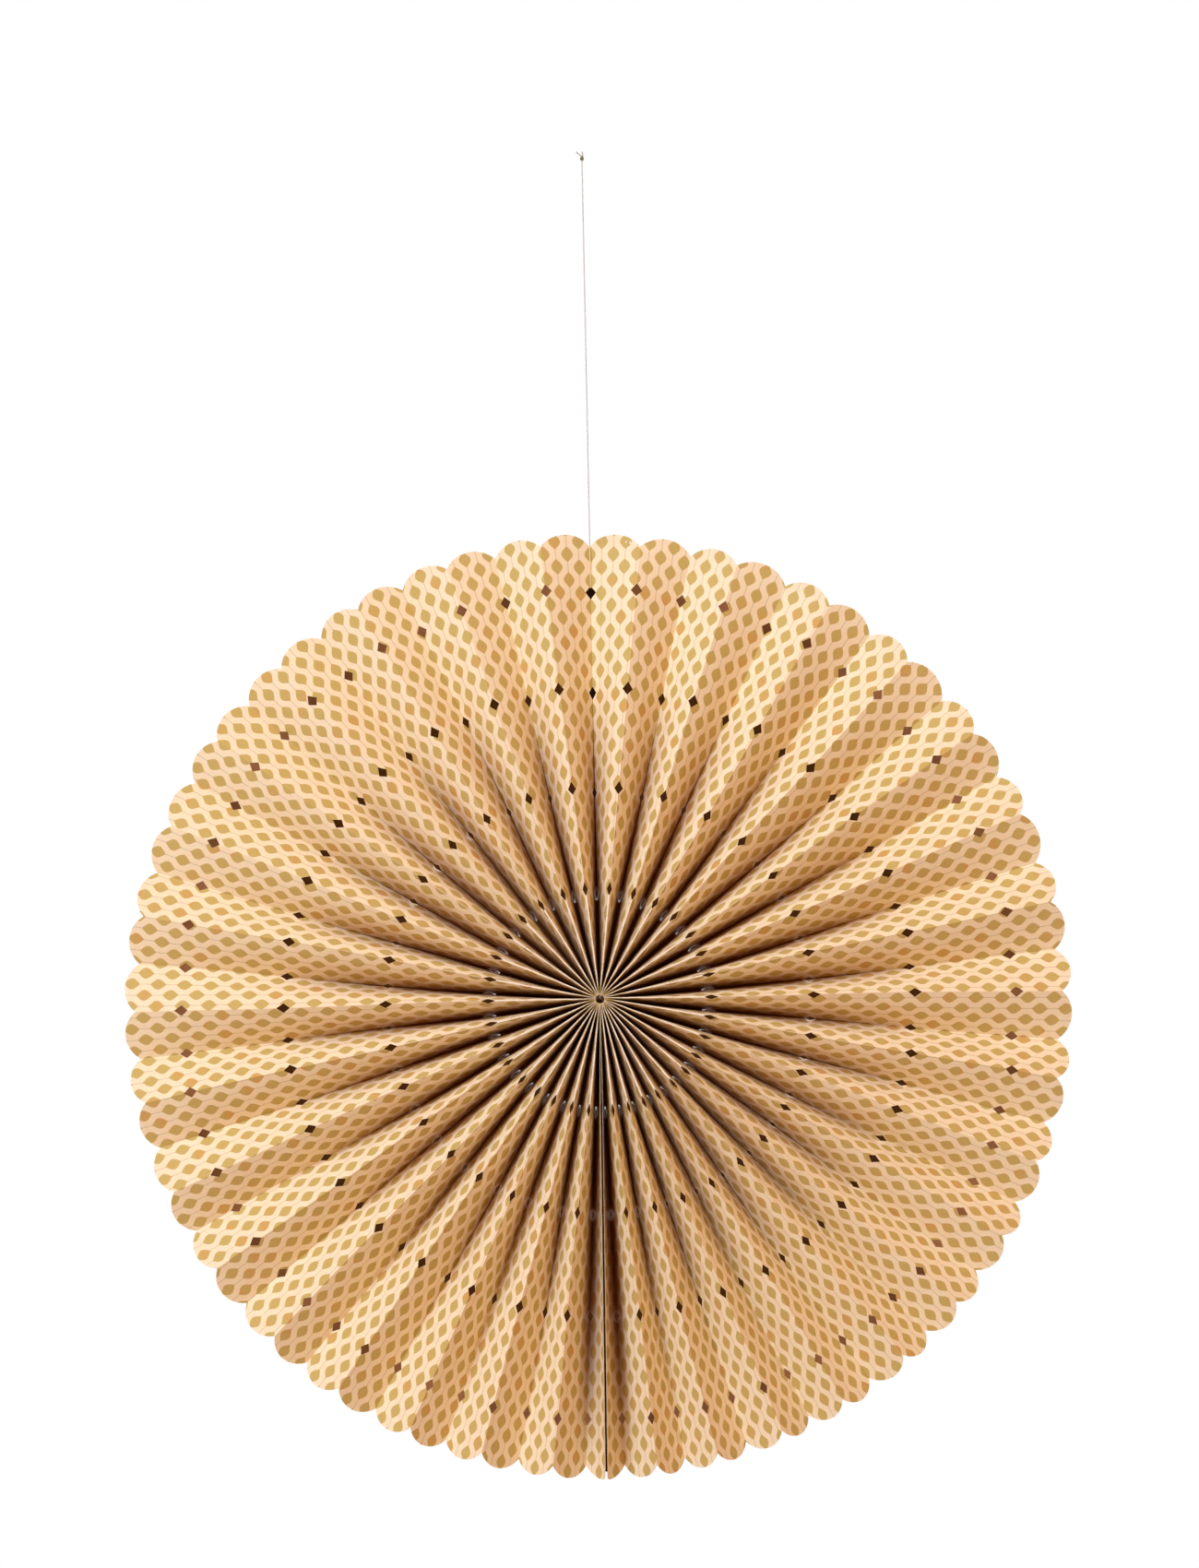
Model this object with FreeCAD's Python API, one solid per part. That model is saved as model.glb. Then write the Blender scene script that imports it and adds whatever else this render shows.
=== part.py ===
import FreeCAD, Part
import math
import os

Vector = FreeCAD.Vector
os.makedirs("parts", exist_ok=True)

# All sizes are in millimetres, angles in degrees.
# The origin is the place that hangs on a nail or hook, at the top of the thread loop.
# Z is up, the printed front faces -Y.
panels = 68
top_fold = 33
centre_drop = 362.5
panel_width = 22.0
paper = 0.12
bore_radius = 1.85
cusp_radius = 194.8
scallop_rise = 5.2

# Angle between two folds: widest at the top, closing towards the joined ridge at the bottom.
seam_angle = 180.4
left_closing = 0.39
left_power = 2.7
right_closing = 0.43
right_power = 1.5
end_step = 2.4
unevenness = 0.22

# How far a panel bulges to the front between its folds, as a share of its pitch.
bulge_share = 0.22
bulge_lean = 0.25

# Diamond holes: each panel has half of one cut from its long edge.
hole_radii = (46.9, 89.8, 132.6, 175.5)
notch_depth = 2.7
notch_half = 2.85

# The blunt crest of a fold near the centre, where the layers lie packed.
crest_inner = 2 * math.pi * bore_radius / panels
crest_outer = 0.45

# The joined ridge.
seam_gap = 1.0
seam_flat = 6.6
strip_thick = 0.86
strip_from = 3.2
strip_deep = 3.4

# The two threads.
binding_at = 4.0
binding_thread = 0.34
hanging_thread = 0.6

length = cusp_radius - bore_radius


def outward(angle):
    a = math.radians(angle)
    return Vector(math.sin(a), 0, math.cos(a))


def sideways(angle):
    a = math.radians(angle)
    return Vector(math.cos(a), 0, -math.sin(a))


def side_steps(count, total, closing, power):
    """Angles between folds on one side, from the top fold down to the joined ridge."""
    steps = [1 - closing * ((j + 0.5) / 34) ** power for j in range(count - 1)]
    share = (total - end_step) / sum(steps)
    return [share * s for s in steps] + [end_step]


left = side_steps(top_fold, 360 - seam_angle, left_closing, left_power)
right = side_steps(panels - top_fold, seam_angle, right_closing, right_power)
fold_angle = [0.0] * (panels + 1)
for f in range(top_fold - 1, -1, -1):
    fold_angle[f] = fold_angle[f + 1] - left[top_fold - 1 - f]
for f in range(top_fold + 1, panels + 1):
    fold_angle[f] = fold_angle[f - 1] + right[f - top_fold - 1]
for f in range(2, panels - 1):
    if f != top_fold:
        fold_angle[f] += unevenness * math.sin(2.4 * f) * math.cos(0.7 * f)


def fold_step(f):
    a = fold_angle[max(f - 1, 0)]
    b = fold_angle[min(f + 1, panels)]
    return (b - a) / (min(f + 1, panels) - max(f - 1, 0))


def is_ridge(f):
    return f % 2 == 0


def bulge(pitch, s):
    return bulge_share * pitch * (1 - s / length)


def fold_point(f, s):
    """A point of the fold's middle line, s from the inner end."""
    inner = outward(seam_angle - 360 + 360.0 * f / panels) * bore_radius
    outer = outward(fold_angle[f]) * cusp_radius
    p = inner + (outer - inner) * (s / length)
    pitch = 2 * p.Length * math.sin(math.radians(fold_step(f)) / 2)
    high = bulge(pitch, min(s, length))
    straight = panel_width - 8 / 3 * high**2 / panel_width
    depth = math.sqrt(max(straight**2 - pitch**2, 4.0))
    return p + Vector(0, -depth / 2 if is_ridge(f) else depth / 2, 0)


def crest_half(s):
    """Half the width of the blunt crest: it ends at the first hole."""
    first = hole_radii[0] - bore_radius
    a = first - notch_half
    b = first + notch_half
    if s <= a:
        return 0.5 * (crest_inner + (crest_outer - crest_inner) * s / a)
    return 0.5 * crest_outer * max(0.0, (b - s) / (b - a))


def seam_half(s):
    first = hole_radii[0] - bore_radius - notch_half
    return 0.5 * (crest_inner + (seam_gap - crest_inner) * min(1.0, s / first))


def panel_point(i, s, v):
    """A point of panel i on the paper's middle surface, s out from the inner end and v across."""
    a_half = seam_half(s) if i == 0 else crest_half(s)
    b_half = seam_half(s) if i == panels - 1 else crest_half(s)
    a = fold_point(i, s) + sideways(fold_angle[i]) * a_half
    b = fold_point(i + 1, s) - sideways(fold_angle[i + 1]) * b_half
    t = v / panel_width
    if i in (0, panels - 1):
        flat = seam_flat / panel_width
        from_seam = t if i == 0 else 1 - t
        out = max(0.0, (from_seam - flat) / (1 - flat)) ** 1.5
        share = out if i == 0 else 1 - out
        across = a + (b - a) * share
        back = a + (b - a) * t
        return Vector(across.x, back.y, across.z)
    chord = b - a
    middle = Vector(a.x + b.x, 0, a.z + b.z).normalize()
    front = middle.cross(chord).normalize()
    if front.y > 0:
        front = front * -1
    from_ridge = t if is_ridge(i) else 1 - t
    pitch = math.hypot(chord.x, chord.z)
    swell = math.sin(math.pi * from_ridge) + bulge_lean * math.sin(2 * math.pi * from_ridge)
    return a + chord * t + front * (bulge(pitch, min(s, length)) * swell)


def rim(v):
    """How far out the scalloped end of a panel reaches at v."""
    half = panel_width / 2
    radius = (half**2 + scallop_rise**2) / (2 * scallop_rise)
    return length + math.sqrt(radius**2 - (v - half) ** 2) - (radius - scallop_rise)


points = {}
corners = []


def corner(key, place):
    points[key] = place
    return key


def triangle(group, a, b, c):
    corners.append((group, a, b, c))


def edge_key(i, side, name):
    """The fold's own point outside the first hole, and the crest's edge inside it."""
    f = i + side
    if name in ("inner", "start0") or f in (0, panels):
        return ("edge", i, side, name)
    return ("fold", f, name)


middles = [r - bore_radius for r in hole_radii]
edge_rows = [("inner", 0.0)]
for k, m in enumerate(middles):
    edge_rows.append(("start%d" % k, m - notch_half))
    edge_rows.append(("end%d" % k, m + notch_half))
edge_rows.append(("cusp", length))
half_width = panel_width / 2


def column(i, v):
    """One line of points along the panel at v: inner end, hole rows, rim."""
    rows = [0.0] + middles + [rim(v)]
    return [corner(("in", i, v, r), panel_point(i, s, v)) for r, s in enumerate(rows)]


def build_panel(i):
    lines = [notch_depth, half_width, panel_width - notch_depth]
    if i == 0:
        lines.insert(1, seam_flat)
    if i == panels - 1:
        lines.insert(2, panel_width - seam_flat)
    columns = [column(i, v) for v in lines]
    sides = []
    for side, v in ((0, 0.0), (1, panel_width)):
        rows = [corner(edge_key(i, side, n), panel_point(i, s, v)) for n, s in edge_rows]
        sides.append(rows)
    for side, near in ((0, columns[0]), (1, columns[-1])):
        edge = sides[side]
        for k in range(5):
            a, b, c, d = edge[2 * k], near[k], near[k + 1], edge[2 * k + 1]
            if side == 0:
                triangle(i, a, b, c)
                triangle(i, a, c, d)
            else:
                triangle(i, b, a, d)
                triangle(i, b, d, c)
    for n in range(len(columns) - 1):
        p, q = columns[n], columns[n + 1]
        for k in range(1, 4):
            triangle(i, p[k], q[k], q[k + 1])
            triangle(i, p[k], q[k + 1], p[k + 1])
        v = (lines[n] + lines[n + 1]) / 2
        top = corner(("top", i, n), panel_point(i, rim(v), v))
        triangle(i, p[4], top, p[5])
        triangle(i, p[4], q[4], top)
        triangle(i, q[4], q[5], top)
    # The binding thread passes through a small pierced hole on the middle line.
    low = binding_at - binding_thread / 2 - 0.02
    h1 = corner(("pierce", i, 1), panel_point(i, low, half_width - 0.75))
    h2 = corner(("pierce", i, 2), panel_point(i, low, half_width + 0.75))
    h3 = corner(("pierce", i, 3), panel_point(i, low + 1.2, half_width))
    at = lines.index(half_width)
    for n in range(len(columns) - 1):
        p, q = columns[n], columns[n + 1]
        if n == at - 1:
            triangle(i, p[0], q[0], h1)
            triangle(i, p[0], h1, p[1])
            triangle(i, p[1], h1, h3)
            triangle(i, p[1], h3, q[1])
        elif n == at:
            triangle(i, p[0], q[0], h2)
            triangle(i, q[0], q[1], h2)
            triangle(i, h2, q[1], h3)
            triangle(i, h3, q[1], p[1])
            triangle(i, p[0], h2, h1)
        else:
            triangle(i, p[0], q[0], q[1])
            triangle(i, p[0], q[1], p[1])


def build_crest(f):
    a = edge_key(f - 1, 1, "inner")
    b = edge_key(f, 0, "inner")
    c = edge_key(f, 0, "start0")
    d = edge_key(f - 1, 1, "start0")
    triangle("crest%d" % f, a, b, c)
    triangle("crest%d" % f, a, c, d)


for i in range(panels):
    build_panel(i)
for f in range(1, panels):
    build_crest(f)


def sheet_normals():
    """For each corner the direction and reach that keep both faces half the thickness away."""
    sums = {}
    for group, a, b, c in corners:
        ring = (a, b, c)
        flat = (points[b] - points[a]).cross(points[c] - points[a]).normalize()
        for n in range(3):
            here = points[ring[n]]
            turn = (points[ring[n - 1]] - here).getAngle(points[ring[(n + 1) % 3]] - here)
            groups = sums.setdefault(ring[n], {})
            groups[group] = groups.get(group, Vector(0, 0, 0)) + flat * turn
    result = {}
    for key, groups in sums.items():
        flats = [g.normalize() for g in groups.values()]
        total = Vector(0, 0, 0)
        for g in flats:
            total += g
        result[key] = total if len(flats) == 1 else total * (1 / (1 + flats[0].dot(flats[1])))
    return result


def thick_solid():
    reach = sheet_normals()
    order = {key: n for n, key in enumerate(points)}
    count = len(order)
    places = [None] * (2 * count)
    for key, n in order.items():
        places[n] = points[key] + reach[key] * (paper / 2)
        places[n + count] = points[key] - reach[key] * (paper / 2)
    faces = []
    used = {}
    for group, a, b, c in corners:
        a, b, c = order[a], order[b], order[c]
        faces.append((a, b, c))
        faces.append((a + count, c + count, b + count))
        for p, q in ((a, b), (b, c), (c, a)):
            used[(p, q)] = True
    for p, q in used:
        if (q, p) not in used:
            faces.append((q, p, p + count))
            faces.append((q, p + count, q + count))
    return places, faces


def drop(shape):
    shape.translate(Vector(0, 0, -centre_drop))
    return shape


places, faces = thick_solid()
sheet = Part.Shape()
sheet.makeShapeFromMesh((places, faces), 0.0001)
sheet = Part.Solid(Part.Shell(sheet.Faces))
if sheet.Volume < 0:
    sheet.reverse()
drop(sheet).exportStep("parts/pleated_paper.step")

# The adhesive strip between the two end panels, a little behind their cut edges.
strip_rows = (hole_radii[0] + 6, cusp_radius - 8)
aside = sideways(seam_angle) * strip_thick
corner_points = []
for r in strip_rows:
    front = fold_point(0, r - bore_radius).y + strip_from
    corner_points.append(outward(seam_angle) * r + Vector(0, front, 0) - aside / 2)
for r in reversed(strip_rows):
    back = fold_point(0, r - bore_radius).y + strip_from + strip_deep
    corner_points.append(outward(seam_angle) * r + Vector(0, back, 0) - aside / 2)
outline = Part.makePolygon(corner_points + corner_points[:1])
strip = Part.Face(outline).extrude(aside)
drop(strip).exportStep("parts/seam_strip.step")

# The gathering thread through the inner ends of all the panels.
around = bore_radius + binding_at
corner_points = []
for n in range(6):
    a = math.radians(60 * n)
    reach = binding_thread / 2
    corner_points.append(Vector(around + reach * math.cos(a), 0, reach * math.sin(a)))
section = Part.Face(Part.makePolygon(corner_points + corner_points[:1]))
ring = section.revolve(Vector(0, 0, 0), Vector(0, 0, 1), 360)
ring.rotate(Vector(0, 0, 0), Vector(1, 0, 0), 90)
drop(ring).exportStep("parts/binding_thread.step")


def tube(route, radii, diameter):
    """A round tube along straight runs joined by tangent arcs."""
    edges = []
    last = route[0]
    for n in range(1, len(route) - 1):
        here = route[n]
        back = (route[n - 1] - here).normalize()
        on = (route[n + 1] - here).normalize()
        half = back.getAngle(on) / 2
        cut = radii[n - 1] / math.tan(half)
        start = here + back * cut
        end = here + on * cut
        bisector = (back + on).normalize()
        centre = here + bisector * (radii[n - 1] / math.sin(half))
        mid = centre - bisector * radii[n - 1]
        edges.append(Part.makeLine(last, start))
        edges.append(Part.Arc(start, mid, end).toShape())
        last = end
    edges.append(Part.makeLine(last, route[-1]))
    wire = Part.Wire(edges)
    along = (route[1] - route[0]).normalize()
    across = along.cross(Vector(1, 0, 0)).normalize()
    up = along.cross(across)
    ring = []
    for n in range(8):
        a = math.radians(45 * n)
        ring.append(route[0] + (across * math.cos(a) + up * math.sin(a)) * (diameter / 2))
    section = Part.Wire(Part.makePolygon(ring + ring[:1]))
    return wire.makePipeShell([section], True, False)


# The doubled thread, through the outermost hole of the top back fold.
r_thread = hanging_thread / 2
edge_of_hole = hole_radii[3] + notch_half
rim_y = fold_point(top_fold, length).y
hole_y = fold_point(top_fold, edge_of_hole - bore_radius).y
rim_gap = paper / 2 + r_thread + 0.2
low = edge_of_hole - 2 * r_thread - 0.06 - centre_drop
side_gap = 2 * r_thread + 0.05
front_strand = [
    Vector(0, -r_thread - 0.02, 0.28),
    Vector(0, rim_y - rim_gap, cusp_radius - centre_drop),
    Vector(0, hole_y - side_gap, low),
]
back_strand = [
    Vector(0, hole_y + side_gap, low),
    Vector(0, r_thread + 0.02, 0.28),
]
loop = tube(front_strand + back_strand, (30.0, 0.62, 0.62), hanging_thread)
loop.exportStep("parts/hanging_thread.step")

# The knot above the loop, with its two tails.
profile = [(0, 0.3), (0.65, 0.3), (0.95, 0.8), (0.95, 1.3), (0.7, 1.9), (0, 1.9)]
corner_points = [Vector(x, 0, z) for x, z in profile]
body = Part.Face(Part.makePolygon(corner_points + corner_points[:1]))
body = body.revolve(Vector(0, 0, 0), Vector(0, 0, 1), 360)
tail_left = tube([Vector(-0.3, 0, 1.91), Vector(-0.3, 0, 2.6), Vector(-2.6, 0.2, 4.4)], (0.6,), 0.5)
tail_right = tube([Vector(0.3, 0, 1.91), Vector(0.3, 0, 2.8), Vector(0.1, -0.5, 4.0)], (1.2,), 0.5)
knot = Part.makeCompound([body, tail_left, tail_right])
knot.exportStep("parts/thread_knot.step")
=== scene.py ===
import math

import bpy
import bmesh
from mathutils import Matrix, Vector


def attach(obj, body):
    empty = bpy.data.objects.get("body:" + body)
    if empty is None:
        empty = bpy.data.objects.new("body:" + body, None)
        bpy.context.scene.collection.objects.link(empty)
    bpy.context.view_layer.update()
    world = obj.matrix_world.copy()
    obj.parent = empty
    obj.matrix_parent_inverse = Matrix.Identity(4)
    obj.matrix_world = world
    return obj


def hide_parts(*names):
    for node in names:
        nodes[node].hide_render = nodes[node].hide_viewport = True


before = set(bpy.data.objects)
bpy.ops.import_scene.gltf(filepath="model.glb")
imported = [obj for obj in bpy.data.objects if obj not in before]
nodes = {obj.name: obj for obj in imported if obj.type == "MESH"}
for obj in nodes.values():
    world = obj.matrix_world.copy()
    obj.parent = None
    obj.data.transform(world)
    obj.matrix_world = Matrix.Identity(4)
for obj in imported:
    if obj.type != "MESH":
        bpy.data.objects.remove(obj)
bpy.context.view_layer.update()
scene = bpy.context.scene


class Value:
    """One socket of a shader tree. Arithmetic on it adds the nodes it needs."""

    def __init__(self, tree, socket):
        self.tree = tree
        self.socket = socket

    def add(self, kind, inputs=None, output=0, **settings):
        node = self.tree.nodes.new(kind)
        for name, setting in settings.items():
            setattr(node, name, setting)
        for name, given in (inputs or {}).items():
            if isinstance(given, Value):
                self.tree.links.new(given.socket, node.inputs[name])
            else:
                node.inputs[name].default_value = given
        return Value(self.tree, node.outputs[output])

    def math(self, operation, *others):
        given = dict(enumerate((self,) + others))
        return self.add("ShaderNodeMath", given, operation=operation)

    def __add__(self, other):
        return self.math("ADD", other)

    def __radd__(self, other):
        return self.math("ADD", other)

    def __sub__(self, other):
        return self.math("SUBTRACT", other)

    def __rsub__(self, other):
        return (self * -1).math("ADD", other)

    def __mul__(self, other):
        return self.math("MULTIPLY", other)

    def __rmul__(self, other):
        return self.math("MULTIPLY", other)

    def __truediv__(self, other):
        return self.math("DIVIDE", other)

    def clamp(self, low, high):
        return self.add("ShaderNodeMapRange", {"Value": self, "From Min": low, "From Max": high})

    def mix(self, a, b):
        return self.add("ShaderNodeMix", {0: self, 6: a, 7: b}, 2, data_type="RGBA")


def new_material(name):
    """An empty material: its principled shader and a first value to build on."""
    material = bpy.data.materials.new(name)
    material.use_nodes = True
    tree = material.node_tree
    shader = tree.nodes["Principled BSDF"]
    place = tree.nodes.new("ShaderNodeTexCoord")
    return material, tree, shader, Value(tree, place.outputs["Object"])


def feed(tree, shader, name, value):
    tree.links.new(value.socket, shader.inputs[name])


# Camera: a little below the middle of the fan and looking up at it, rolled as the photograph is.
centre_drop = 362.5
fan = Vector((0, 0, -0.001 * centre_drop))
eye = fan + Vector((-0.029, -1.42, -0.114))
cam = bpy.data.cameras.new("camera")
cam.lens = 77.6
cam.sensor_width = 36
cam.shift_y = 0.1385
camera = bpy.data.objects.new("camera", cam)
turn = (fan - eye).to_track_quat("-Z", "Y").to_matrix().to_4x4()
camera.matrix_world = Matrix.Translation(eye) @ turn @ Matrix.Rotation(math.radians(-1.2), 4, "Z")
scene.collection.objects.link(camera)
scene.camera = camera

# Light: one soft source from the left, a weak one from the right, one from behind, and warm light
# all round. The backdrop is white to the camera and in reflections.
scene.view_settings.view_transform = "Standard"


def lamp(name, place, size, power, colour):
    data = bpy.data.lights.new(name, "AREA")
    data.shape = "DISK"
    data.size = size
    data.energy = power
    data.color = colour
    made = bpy.data.objects.new(name, data)
    made.location = place
    made.rotation_euler = (fan - Vector(place)).to_track_quat("-Z", "Y").to_euler()
    scene.collection.objects.link(made)


lamp("key_light", (-0.93, -1.72, 0.66), 1.0, 43, (0.61, 0.80, 1.0))
lamp("fill_light", (0.9, -1.5, 1.4), 1.4, 7, (1.0, 0.80, 0.58))
lamp("back_light", (0.6, 1.7, 0.9), 1.0, 13, (1.0, 0.97, 0.93))


def seen_as_backdrop(tree):
    """1 for the rays that look at a backdrop, 0 for those that only carry its light."""
    ray = tree.nodes.new("ShaderNodeLightPath")
    seen = Value(tree, ray.outputs["Is Camera Ray"])
    for kind in ("Is Glossy Ray", "Is Transmission Ray"):
        seen = seen.math("MAXIMUM", Value(tree, ray.outputs[kind]))
    return seen


world = bpy.data.worlds.new("studio")
world.use_nodes = True
seen = seen_as_backdrop(world.node_tree)
place = world.node_tree.nodes.new("ShaderNodeTexCoord")
toward = Value(world.node_tree, place.outputs["Generated"])
toward = toward.add("ShaderNodeSeparateXYZ", {0: toward}, 1)
warm = (1.0, 0.42, 0.065, 1)
neutral = (0.95, 0.93, 0.90, 1)
ambient = 0.52
colour = seen.mix(toward.clamp(0.2, 0.6).mix(warm, neutral), (1, 1, 1, 1))
power = seen * (1 - ambient) + ambient
background = world.node_tree.nodes["Background"]
world.node_tree.links.new(colour.socket, background.inputs["Color"])
world.node_tree.links.new(power.socket, background.inputs["Strength"])
scene.world = world

# Pleated paper: one long printed strip, folded into 68 panels and opened into a disc.
# Its long edge is cut into one scallop a panel, and half a diamond is cut from each fold four times.
# The print is on the front only, and the two end panels meet in the bottom ridge.
panels = 68
top_fold = 33
width = 22.0
paper = 0.12
bore = 1.85
cusp = 194.8
length = cusp - bore
scallop_rise = 5.2
seam_angle = 180.4
left_closing = 0.39
left_power = 2.7
right_closing = 0.43
right_power = 1.5
end_step = 2.4
unevenness = 0.22
bulge_share = 0.22
seam_flat = 6.6
seam_gap = 1.0
crest = 0.45
hole_radii = (46.9, 89.8, 132.6, 175.5)
notch_depth = 2.7
notch_half = 2.85
first_hole = hole_radii[0] - bore


def outward(angle):
    a = math.radians(angle)
    return Vector((math.sin(a), 0, math.cos(a)))


def sideways(angle):
    a = math.radians(angle)
    return Vector((math.cos(a), 0, -math.sin(a)))


def side_steps(count, total, closing, power):
    """The angles between the folds from the top down one side, closing up towards the joined ridge."""
    steps = [1 - closing * ((j + 0.5) / (panels / 2)) ** power for j in range(count - 1)]
    share = (total - end_step) / sum(steps)
    return [share * s for s in steps] + [end_step]


left = side_steps(top_fold, 360 - seam_angle, left_closing, left_power)
right = side_steps(panels - top_fold, seam_angle, right_closing, right_power)
fold_angle = [0.0] * (panels + 1)
for f in range(top_fold - 1, -1, -1):
    fold_angle[f] = fold_angle[f + 1] - left[top_fold - 1 - f]
for f in range(top_fold + 1, panels + 1):
    fold_angle[f] = fold_angle[f - 1] + right[f - top_fold - 1]
for f in range(2, panels - 1):
    if f != top_fold:
        fold_angle[f] += unevenness * math.sin(2.4 * f) * math.cos(0.7 * f)


def bulge(pitch, s):
    """How far a panel swells to the front between its folds."""
    return bulge_share * pitch * (1 - min(s, length) / length)


def fold_point(f, s):
    """A point of a fold's middle line, s from the inner end."""
    inner = outward(seam_angle - 360 + 360.0 * f / panels) * bore
    outer = outward(fold_angle[f]) * cusp
    p = inner + (outer - inner) * (s / length)
    a = fold_angle[max(f - 1, 0)]
    b = fold_angle[min(f + 1, panels)]
    step = (b - a) / (min(f + 1, panels) - max(f - 1, 0))
    pitch = 2 * p.length * math.sin(math.radians(step) / 2)
    straight = width - 8 / 3 * bulge(pitch, s) ** 2 / width
    depth = math.sqrt(max(straight**2 - pitch**2, 4.0))
    p += Vector((0, (-depth if f % 2 == 0 else depth) / 2, 0))
    if 1 < f < panels - 1 and abs(f - top_fold) > 1:
        soft = math.sin(math.pi * min(s, length) / length)
        p += sideways(fold_angle[f]) * (soft * 0.5 * math.sin(2.1 * f + s / 31))
        p += Vector((0, soft * 0.4 * math.sin(3.7 * f + s / 19), 0))
    return p


def crest_half(s):
    """Half the width of a fold's blunt crest, which runs out at the first hole."""
    inner = 2 * math.pi * bore / panels
    a = first_hole - notch_half
    b = first_hole + notch_half
    if s <= a:
        return 0.5 * (inner + (crest - inner) * s / a)
    return 0.5 * crest * max(0.0, (b - s) / (b - a))


def seam_half(s):
    """Half the gap between the two end panels' cut edges."""
    inner = 2 * math.pi * bore / panels
    return 0.5 * (inner + (seam_gap - inner) * min(1.0, s / (first_hole - notch_half)))


def panel_lines(i, s):
    """The two edges of panel i at s from the inner end."""
    a_half = seam_half(s) if i == 0 else crest_half(s)
    b_half = seam_half(s) if i == panels - 1 else crest_half(s)
    a = fold_point(i, s) + sideways(fold_angle[i]) * a_half
    b = fold_point(i + 1, s) - sideways(fold_angle[i + 1]) * b_half
    return a, b


def panel_point(i, s, v):
    """The point of panel i at s along it and v across it."""
    a, b = panel_lines(i, s)
    t = v / width
    if i in (0, panels - 1):
        flat = seam_flat / width
        from_seam = t if i == 0 else 1 - t
        out = max(0.0, (from_seam - flat) / (1 - flat)) ** 1.5
        across = a + (b - a) * (out if i == 0 else 1 - out)
        return Vector((across.x, (a + (b - a) * t).y, across.z))
    chord = b - a
    middle = Vector((a.x + b.x, 0, a.z + b.z)).normalized()
    front = middle.cross(chord).normalized()
    if front.y > 0:
        front = -front
    from_ridge = t if i % 2 == 0 else 1 - t
    swell = math.sin(math.pi * from_ridge) + 0.25 * math.sin(2 * math.pi * from_ridge)
    return a + chord * t + front * (bulge(math.hypot(chord.x, chord.z), s) * swell)


def rim(v):
    """The scallop: how far the panel reaches at v across it."""
    half = width / 2
    radius = (half**2 + scallop_rise**2) / (2 * scallop_rise)
    return length + math.sqrt(radius**2 - (v - half) ** 2) - (radius - scallop_rise)


def notch(s):
    """How deep the holes cut into a panel's edge at s."""
    cut = 0.0
    for r in hole_radii:
        cut = max(cut, notch_depth * (1 - abs(s - (r - bore)) / notch_half))
    return cut


row_at = [0.0, 1.2, 3.0, 6.0, 10.0, 15.0, 20.0, 25.0, 30.0, 35.0]
for n, r in enumerate(hole_radii):
    m = r - bore
    row_at += [m - notch_half, m, m + notch_half]
    following = hole_radii[n + 1] - bore - notch_half if n < 3 else length
    count = 9 if n < 3 else 4
    row_at += [m + notch_half + (following - m - notch_half) * k / count for k in range(1, count)]
row_at.append(length)
row_at.append(None)
rows = len(row_at)
cols = 12
opened = [abs(s - (r - bore)) < notch_half - 0.01 for s in row_at[:-1] for r in hole_radii]
in_notch = [any(opened[4 * n : 4 * n + 4]) for n in range(rows - 1)] + [False]
after_first = [s is None or s > first_hole for s in row_at]

places = []
number = {}
sheet_faces = []


def vertex(i, row, col):
    """The number of one grid point. Folds outside the first hole are shared by two panels."""
    s = row_at[row]
    f = i + col // cols
    shared = col in (0, cols) and after_first[row] and not in_notch[row] and 0 < f < panels
    key = ("fold", f, row) if shared else (i, row, col)
    if key not in number:
        number[key] = len(places)
        t = col / cols
        if s is None:
            v = width * t
            s = rim(v)
        else:
            cut = notch(s)
            v = cut + (width - 2 * cut) * t
        places.append(panel_point(i, s, v))
    return number[key]


def flat_place(i, row, col):
    """The same grid point on the unfolded sheet."""
    s = row_at[row]
    t = col / cols
    if s is None:
        return i * width + width * t, rim(width * t)
    cut = notch(s)
    return i * width + cut + (width - 2 * cut) * t, s


for i in range(panels):
    for row in range(rows - 1):
        for col in range(cols):
            at = ((row, col), (row, col + 1), (row + 1, col + 1), (row + 1, col))
            face = []
            flat = []
            for r, c in at:
                k = vertex(i, r, c)
                if k not in face:
                    face.append(k)
                    flat.append(flat_place(i, r, c))
            if len(face) > 2:
                sheet_faces.append((i, face, flat))
    if i > 0:
        row = 0
        while row_at[row + 1] <= first_hole - notch_half + 0.01:
            face = [vertex(i - 1, row, cols), vertex(i, row, 0)]
            face += [vertex(i, row + 1, 0), vertex(i - 1, row + 1, cols)]
            low = (i * width, row_at[row])
            high = (i * width, row_at[row + 1])
            sheet_faces.append((-i, face, [low, low, high, high]))
            row += 1

# Both faces of the paper lie half its thickness from the middle surface.
sums = {}
for group, face, flat in sheet_faces:
    a, b, c = places[face[0]], places[face[1]], places[face[2]]
    normal = (b - a).cross(c - a)
    if len(face) == 4:
        normal += (c - a).cross(places[face[3]] - a)
    for k in face:
        groups = sums.setdefault(k, {})
        groups[group] = groups.get(group, Vector((0, 0, 0))) + normal
reach = []
for k in range(len(places)):
    flats = [g.normalized() for g in sums[k].values()]
    total = sum(flats, Vector((0, 0, 0)))
    reach.append(total if len(flats) == 1 else total / max(1 + flats[0].dot(flats[1]), 0.02))
count = len(places)
points = [(places[k] + reach[k] * (paper / 2)) * 0.001 + fan for k in range(count)]
points += [(places[k] - reach[k] * (paper / 2)) * 0.001 + fan for k in range(count)]
faces = []
slots = []
flats = []
rim_of = {}
for group, face, flat in sheet_faces:
    faces.append(face)
    slots.append(0)
    flats.append(flat)
    faces.append([k + count for k in reversed(face)])
    slots.append(1)
    flats.append(list(reversed(flat)))
    for n in range(len(face)):
        pair = (face[n], face[(n + 1) % len(face)])
        rim_of[pair] = (flat[n], flat[(n + 1) % len(flat)])
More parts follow.
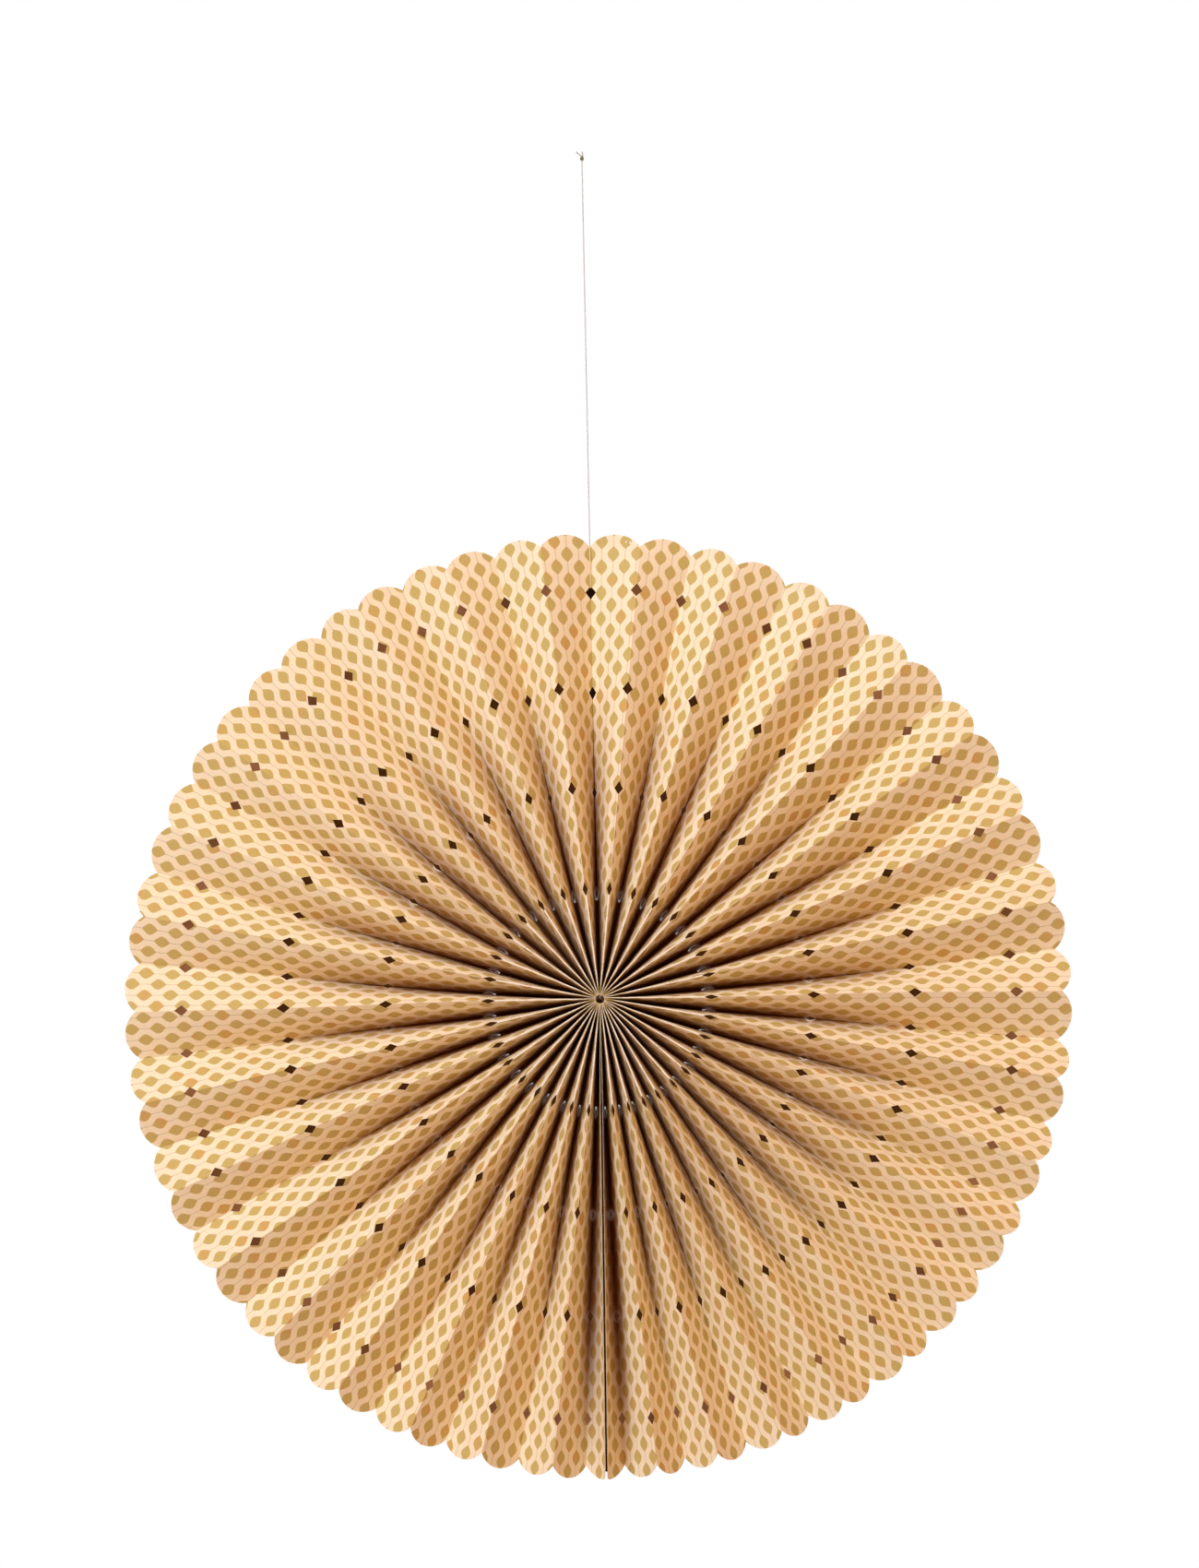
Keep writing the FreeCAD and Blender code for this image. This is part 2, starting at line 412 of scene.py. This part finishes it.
for (p, q), (flat_p, flat_q) in rim_of.items():
    if (q, p) not in rim_of:
        faces.append([q, p, p + count, q + count])
        slots.append(2)
        flats.append([flat_q, flat_p, flat_p, flat_q])

mesh = bpy.data.meshes.new("folded_paper")
mesh.from_pydata(points, [], faces)
mesh.polygons.foreach_set("material_index", slots)
layer = mesh.uv_layers.new(name="flat_sheet")
for n, flat in enumerate(flats):
    start = mesh.polygons[n].loop_start
    for k, (u, v) in enumerate(flat):
        layer.data[start + k].uv = (u * 0.001, v * 0.001)
mesh.validate()
folded = bpy.data.objects.new("folded_paper", mesh)
scene.collection.objects.link(folded)
bpy.context.view_layer.objects.active = folded
folded.select_set(True)
bpy.ops.object.shade_smooth_by_angle(angle=math.radians(13))
folded.select_set(False)


def ogee(start):
    """The printed lattice on the flat sheet: motif, line, a number for each motif, and the places."""
    columns = 4.23
    repeat = 0.01107
    wave_depth = 0.353
    motif_half = 0.145
    line_half = 0.045
    print_start = 0.1787
    uv = start.add("ShaderNodeUVMap", uv_map="flat_sheet")
    across = uv.add("ShaderNodeSeparateXYZ", {0: uv}, 0)
    along = uv.add("ShaderNodeSeparateXYZ", {0: uv}, 1)
    wander = uv.add("ShaderNodeTexNoise", {"Vector": uv, "Scale": 900.0, "Detail": 1.0})
    wander = (wander - 0.5) * 0.00025
    column = (across + wander - 0.001 * width * top_fold) / (0.001 * width / columns)
    half = column / 2 + 0.5
    off = (half.math("FRACT") - 0.5).math("ABSOLUTE") * 2
    wave = ((along + wander - print_start) * (2 * math.pi / repeat)).math("COSINE") * wave_depth
    even = wave + motif_half - off
    odd = motif_half - wave - (1 - off)
    motif = even.math("MAXIMUM", odd).clamp(-0.012, 0.028)
    tips = off.math("MINIMUM", 1 - off)
    line = (line_half - tips).clamp(-0.01, 0.02)
    cell = column.math("ROUND") * 7.31 + (along * (2 / repeat)).math("ROUND") * 3.17
    odds = cell.add("ShaderNodeTexWhiteNoise", {"W": cell}, noise_dimensions="1D")
    middle = 0.0005 * width * panels
    from_end = middle - (across - middle).math("ABSOLUTE")
    return uv, motif, line, odds, across, along, from_end


# Printed side: cream and mustard ink, worn and with a painted highlight along the ridges near the
# centre, and painted shade, darker and redder, in the inner folds, where the light only comes off
# other paper, in the valley creases, beside the joined ridge and at the inner end.
printed, tree, shader, start = new_material("printed_paper")
uv, motif, line, odds, across, along, from_end = ogee(start)
cloud = uv.add("ShaderNodeTexNoise", {"Vector": uv, "Scale": 260.0, "Detail": 3.0})
cream = cloud.clamp(0.35, 0.65).mix((0.95, 0.80, 0.55, 1), (0.96, 0.77, 0.52, 1))
mustard = odds.clamp(0.78, 0.98).mix((0.62, 0.45, 0.145, 1), (0.69, 0.39, 0.12, 1))
speckle = uv.add("ShaderNodeTexNoise", {"Vector": uv, "Scale": 2200.0, "Detail": 2.0})
mustard = (speckle.clamp(0.3, 0.7) * 0.5).mix(mustard, (0.58, 0.41, 0.13, 1))
colour = (line * 0.5).mix(cream, (0.50, 0.42, 0.34, 1))
colour = motif.mix(colour, mustard)
ridge = (across / (0.002 * width) + 0.5).math("FRACT") - 0.5
ridge = ridge.math("ABSOLUTE") * (0.002 * width)
inward = (along * -1).clamp(-0.13, -0.05) * along.clamp(0.002, 0.010)
# Painted highlight and wear: a thin pale cream line along the ridges near the centre.
wear_and_highlight = (0.00045 - ridge).clamp(0.0, 0.0003) * inward * speckle.clamp(0.25, 0.5)
colour = wear_and_highlight.mix(colour, (0.97, 0.88, 0.74, 1))
# Painted shade: darker and redder towards the valleys of the inner folds.
painted_deep_shade = ridge.clamp(0.005, 0.020) * (along * -1).clamp(-0.135, -0.04)
colour = painted_deep_shade.mix(colour, (0.31, 0.070, 0.004, 1))
# Painted shade: darkest red-brown over the folds near the centre, all but the ridges.
painted_core_shade = ridge.clamp(0.0006, 0.005) * (along * -1).clamp(-0.050, -0.012) * 0.75
colour = painted_core_shade.mix(colour, (0.24, 0.055, 0.004, 1))
# Painted shade: a thin dark line along each valley crease, out to about 140 mm.
painted_crease_shade = (ridge - 0.022 - (along - 0.135) * 0.028).clamp(0.0, 0.0010)
colour = (painted_crease_shade * (along * -1).clamp(-0.14, -0.11) * 0.85).mix(colour, (0.20, 0.05, 0.006, 1))
# Painted shade: dark red-brown in the folds beside the joined ridge, out to about 130 mm.
painted_seam_shade = (from_end * -1).clamp(-0.034, -0.028) * ridge.clamp(0.008, 0.020)
colour = (painted_seam_shade * (along * -1).clamp(-0.195, -0.13) * 0.9).mix(colour, (0.22, 0.055, 0.006, 1))
# Painted shade: darker and browner towards the inner end, within 10 mm of it.
colour = ((along * -1).clamp(-0.010, -0.002) * 0.3).mix(colour, (0.40, 0.26, 0.12, 1))
feed(tree, shader, "Base Color", colour)
grain = uv.add("ShaderNodeTexNoise", {"Vector": uv, "Scale": 1500.0, "Detail": 4.0})
dents = uv.add("ShaderNodeTexNoise", {"Vector": uv, "Scale": 70.0, "Detail": 2.0})
height = grain * 0.00003 + dents * 0.0006
bump = height.add("ShaderNodeBump", {"Height": height, "Strength": 0.6, "Distance": 1.0})
feed(tree, shader, "Normal", bump)
shader.inputs["Roughness"].default_value = 0.5
shader.inputs["Specular IOR Level"].default_value = 0.1

# Plain side, with the print showing through faintly, and painted shade, dark brown, near the joined
# ends, in the slit.
plain, tree, shader, start = new_material("plain_paper")
uv, motif, *others, from_end = ogee(start)
colour = (motif * 0.16).mix((0.90, 0.82, 0.70, 1), (0.62, 0.46, 0.24, 1))
# Painted shade: dark brown within about 10 mm of both ends of the strip, on the walls of the slit.
colour = (from_end * -1).clamp(-0.012, -0.009).mix(colour, (0.10, 0.05, 0.025, 1))
feed(tree, shader, "Base Color", colour)
grain = uv.add("ShaderNodeTexNoise", {"Vector": uv, "Scale": 1100.0, "Detail": 4.0})
height = grain * 0.00004
bump = height.add("ShaderNodeBump", {"Height": height, "Strength": 0.6, "Distance": 1.0})
feed(tree, shader, "Normal", bump)
shader.inputs["Roughness"].default_value = 0.75
shader.inputs["Specular IOR Level"].default_value = 0.2

# Cut edge: bare fibre, matt and a little yellowed.
cut_edge, tree, shader, start = new_material("cut_edge")
fibre = start.add("ShaderNodeTexNoise", {"Vector": start, "Scale": 3000.0, "Detail": 2.0})
feed(tree, shader, "Base Color", fibre.mix((0.88, 0.70, 0.46, 1), (0.95, 0.80, 0.56, 1)))
shader.inputs["Roughness"].default_value = 0.85
shader.inputs["Specular IOR Level"].default_value = 0.05

mesh.materials.append(printed)
mesh.materials.append(plain)
mesh.materials.append(cut_edge)
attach(folded, "root")
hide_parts("pleated_paper")

# Seam strip: the adhesive strip between the backs of the two end panels, behind their cut edges.
# Its own solid stays. Its brown is painted darker, as painted shade for the slit in front of it.
adhesive, tree, shader, start = new_material("adhesive")
cells = start.add("ShaderNodeTexVoronoi", {"Vector": start, "Scale": 2500.0})
feed(tree, shader, "Base Color", cells.mix((0.10, 0.06, 0.03, 1), (0.20, 0.12, 0.06, 1)))
shader.inputs["Roughness"].default_value = 0.8
shader.inputs["Specular IOR Level"].default_value = 0.05
nodes["seam_strip"].data.materials.clear()
nodes["seam_strip"].data.materials.append(adhesive)

# Binding thread: the ring of thread that gathers the inner ends of the panels.
cotton, tree, shader, start = new_material("binding_cotton")
ply = start.add("ShaderNodeTexWave", {"Vector": start, "Scale": 900.0, "Distortion": 2.0})
feed(tree, shader, "Base Color", ply.mix((0.72, 0.68, 0.60, 1), (0.90, 0.87, 0.80, 1)))
shader.inputs["Roughness"].default_value = 0.8
nodes["binding_thread"].data.materials.clear()
nodes["binding_thread"].data.materials.append(cotton)

# Hanging thread: one pale two-ply thread, doubled through the outermost hole of the top back fold.
# Its front strand bends over the rim and lies in the fold, its back strand hangs free behind.
rim_y = fold_point(top_fold, length).y
hole_edge = hole_radii[3] + notch_half
hole_y = fold_point(top_fold, hole_edge - bore).y
low = hole_edge - 0.66 - centre_drop
route = [
    (0, -0.32, 0.28),
    (0, rim_y - 0.50, -163.0),
    (0, rim_y - 0.56, cusp - centre_drop),
    (0, rim_y - 0.20, cusp - centre_drop - 4.5),
    (0, hole_y - 0.66, low + 3.6),
    (0, hole_y - 0.65, low),
    (0, hole_y + 0.65, low),
    (0, hole_y + 0.54, low + 3.6),
    (0, 0.32, 0.28),
]
line_data = bpy.data.curves.new("thread_line", "CURVE")
line_data.dimensions = "3D"
spline = line_data.splines.new("NURBS")
spline.points.add(len(route) - 1)
for point, (x, y, z) in zip(spline.points, route):
    point.co = (x * 0.001, y * 0.001, z * 0.001, 1)
spline.order_u = 3
spline.use_endpoint_u = True
spline.resolution_u = 60
guide = bpy.data.objects.new("thread_line", line_data)
centre_mesh = bpy.data.meshes.new_from_object(guide)
centre = [v.co.copy() for v in centre_mesh.vertices]
bpy.data.objects.remove(guide)
bpy.data.meshes.remove(centre_mesh)

spaced = [centre[0]]
for point in centre[1:]:
    gap = (point - spaced[-1]).length
    if gap > 0.0004:
        pieces = math.ceil(gap / 0.0006)
        begin = spaced[-1]
        spaced += [begin.lerp(point, k / pieces) for k in range(1, pieces + 1)]
thread = bmesh.new()
sides = 8
ply_radius = 0.00016
ply_offset = 0.00014
twist_length = 0.0024
for ply in range(2):
    travelled = 0.0
    previous = None
    for n, here in enumerate(spaced):
        along = (spaced[min(n + 1, len(spaced) - 1)] - spaced[max(n - 1, 0)]).normalized()
        if n:
            travelled += (here - spaced[n - 1]).length
        side = Vector((1, 0, 0))
        other = along.cross(side).normalized()
        a = math.pi * ply + travelled * 2 * math.pi / twist_length
        middle = here + (side * math.cos(a) + other * math.sin(a)) * ply_offset
        ring = []
        for k in range(sides):
            b = 2 * math.pi * k / sides
            spoke = (side * math.cos(b) + other * math.sin(b)) * ply_radius
            ring.append(thread.verts.new(middle + spoke))
        if previous:
            for k in range(sides):
                q = (k + 1) % sides
                thread.faces.new((previous[k], previous[q], ring[q], ring[k]))
        else:
            thread.faces.new(list(reversed(ring)))
        previous = ring
    thread.faces.new(previous)
bmesh.ops.recalc_face_normals(thread, faces=thread.faces)
thread_mesh = bpy.data.meshes.new("loop_thread")
thread.to_mesh(thread_mesh)
thread.free()
loop_thread = bpy.data.objects.new("loop_thread", thread_mesh)
scene.collection.objects.link(loop_thread)
for face in thread_mesh.polygons:
    face.use_smooth = True

pale, tree, shader, start = new_material("pale_thread")
fuzz = start.add("ShaderNodeTexNoise", {"Vector": start, "Scale": 4000.0, "Detail": 3.0})
split = start.add("ShaderNodeSeparateXYZ", {0: start}, 2)
colour = fuzz.mix((0.55, 0.56, 0.57, 1), (0.76, 0.78, 0.80, 1))
# Painted reflection: below the top of the rim, where the thread lies in the fold, it is coloured
# yellow, for the yellow print it picks up.
colour = (split * -1).clamp(0.1665, 0.1685).mix(colour, (0.95, 0.78, 0.42, 1))
feed(tree, shader, "Base Color", colour)
bump = fuzz.add("ShaderNodeBump", {"Height": fuzz * 0.0001, "Strength": 0.5, "Distance": 1.0})
feed(tree, shader, "Normal", bump)
shader.inputs["Roughness"].default_value = 0.7
thread_mesh.materials.append(pale)
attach(loop_thread, "root")
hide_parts("hanging_thread")

# Knot: two tight turns of the thread's ends round its own strands, with two short tails.
knot_data = bpy.data.curves.new("loop_knot", "CURVE")
knot_data.dimensions = "3D"
knot_data.bevel_depth = 0.00028
knot_data.bevel_resolution = 3
knot_data.use_fill_caps = True
turns = knot_data.splines.new("NURBS")
knot_route = [(-0.1, 0.1, 0.5), (0.2, 0.2, 0.45)]
for n in range(14):
    a = math.radians(60 * n)
    knot_route.append((0.62 * math.cos(a), 0.6 * math.sin(a), 0.62 + 0.085 * n))
knot_route += [(0.1, -0.3, 1.9), (-0.3, 0.0, 2.3), (-1.2, 0.1, 3.1), (-2.4, 0.2, 4.2)]
turns.points.add(len(knot_route) - 1)
for point, (x, y, z) in zip(turns.points, knot_route):
    point.co = (x * 0.001, y * 0.001, z * 0.001, 1)
turns.order_u = 3
turns.use_endpoint_u = True
turns.resolution_u = 6
tail = knot_data.splines.new("NURBS")
tail_route = [(0.1, 0.2, 0.5), (0.2, 0.1, 1.2), (0.3, 0.0, 2.2), (0.35, -0.2, 3.0), (0.15, -0.5, 4.0)]
tail.points.add(len(tail_route) - 1)
for point, (x, y, z) in zip(tail.points, tail_route):
    point.co = (x * 0.001, y * 0.001, z * 0.001, 1)
tail.order_u = 3
tail.use_endpoint_u = True
loop_knot = bpy.data.objects.new("loop_knot", knot_data)
scene.collection.objects.link(loop_knot)
bpy.context.view_layer.objects.active = loop_knot
loop_knot.select_set(True)
bpy.ops.object.convert(target="MESH")
loop_knot.select_set(False)

dull, tree, shader, start = new_material("knot_thread")
fuzz = start.add("ShaderNodeTexNoise", {"Vector": start, "Scale": 3000.0, "Detail": 3.0})
split = start.add("ShaderNodeSeparateXYZ", {0: start}, 2)
# Painted shade: the wound turns are coloured a dark olive, far darker than the pale thread; the tails
# are grey.
wound = fuzz.mix((0.16, 0.15, 0.08, 1), (0.26, 0.24, 0.15, 1))
loose = fuzz.mix((0.40, 0.39, 0.36, 1), (0.55, 0.54, 0.51, 1))
feed(tree, shader, "Base Color", split.clamp(0.0018, 0.0026).mix(wound, loose))
shader.inputs["Roughness"].default_value = 0.8
loop_knot.data.materials.clear()
loop_knot.data.materials.append(dull)
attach(loop_knot, "root")
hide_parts("thread_knot")

# Stage: a pale floor well below, and dark patches close behind the holes and the slit of the joined
# ridge: painted shade for the shadowed wall behind, glowing dark brown. The patches are there for the
# camera alone.
bpy.ops.mesh.primitive_circle_add(radius=3.0, vertices=96, fill_type="NGON", location=(0, 0, -1.5))
floor = bpy.context.object
floor.name = "floor"
pale_floor, tree, shader, start = new_material("pale_floor")
shader.inputs["Base Color"].default_value = (0.8, 0.8, 0.8, 1)
shader.inputs["Roughness"].default_value = 0.9
shader.inputs["Emission Color"].default_value = (0.95, 0.97, 1.0, 1)
feed(tree, shader, "Emission Strength", seen_as_backdrop(tree) * 0.6)
floor.data.materials.append(pale_floor)

patch_points = []
patch_faces = []


def patch(*corners):
    """One flat patch, its corners in millimetres from the fan's centre."""
    patch_faces.append([len(patch_points) + k for k in range(len(corners))])
    patch_points.extend(corner * 0.001 for corner in corners)


behind = Vector((0, 0.25, 0))
past = 0.3
reach_out = notch_depth + past
for f in range(1, panels):
    for r in hole_radii:
        m = r - bore
        below = Vector((0, 1.25, 0)) if f % 2 else behind
        near = fold_point(f, m - notch_half - past) + below
        far = fold_point(f, m + notch_half + past) + below
        patch(near, panel_point(f - 1, m, width - reach_out) + behind, far)
        patch(near, far, panel_point(f, m, reach_out) + behind)
half_in = sideways(seam_angle) * 0.35
half_out = sideways(seam_angle) * 1.3
slit_in = outward(seam_angle) * (bore + 3)
slit_out = outward(seam_angle) * (cusp + 2)
patch(slit_in - half_in, slit_out - half_out, slit_out + half_out, slit_in + half_in)
patch(*[outward(60 * k) * (bore + 0.1) + Vector((0, 8, 0)) for k in range(6)])
patch_mesh = bpy.data.meshes.new("dark_patches")
patch_mesh.from_pydata(patch_points, [], patch_faces)
patches = bpy.data.objects.new("dark_patches", patch_mesh)
patches.location = fan
scene.collection.objects.link(patches)

dark, tree, shader, start = new_material("dark_behind")
shader.inputs["Base Color"].default_value = (0, 0, 0, 1)
shader.inputs["Specular IOR Level"].default_value = 0
from_centre = start.add("ShaderNodeVectorMath", {0: start}, 1, operation="LENGTH")
shade = start.add("ShaderNodeTexNoise", {"Vector": start, "Scale": 22.0, "Detail": 1.0})
# Painted shade: the patches glow dark brown, darker towards the centre and darkest along the slit.
painted_shade_tint = shade.clamp(0.38, 0.65).mix((0.13, 0.045, 0.015, 1), (0.30, 0.115, 0.05, 1))
painted_shade_tint = from_centre.clamp(0.135, 0.165).mix((0.055, 0.017, 0.004, 1), painted_shade_tint)
painted_shade_tint = from_centre.clamp(0.01, 0.045).mix((0.008, 0.003, 0.001, 1), painted_shade_tint)
split = start.add("ShaderNodeSeparateXYZ", {0: start}, 0)
painted_shade_tint = split.math("ABSOLUTE").clamp(0.0018, 0.0022).mix((0.015, 0.005, 0.002, 1), painted_shade_tint)
feed(tree, shader, "Emission Color", painted_shade_tint)
shader.inputs["Emission Strength"].default_value = 1.0
clear = tree.nodes.new("ShaderNodeBsdfTransparent")
choose = tree.nodes.new("ShaderNodeMixShader")
ray = tree.nodes.new("ShaderNodeLightPath")
tree.links.new(ray.outputs["Is Camera Ray"], choose.inputs[0])
tree.links.new(clear.outputs[0], choose.inputs[1])
tree.links.new(shader.outputs[0], choose.inputs[2])
tree.links.new(choose.outputs[0], tree.nodes["Material Output"].inputs["Surface"])
patch_mesh.materials.append(dark)
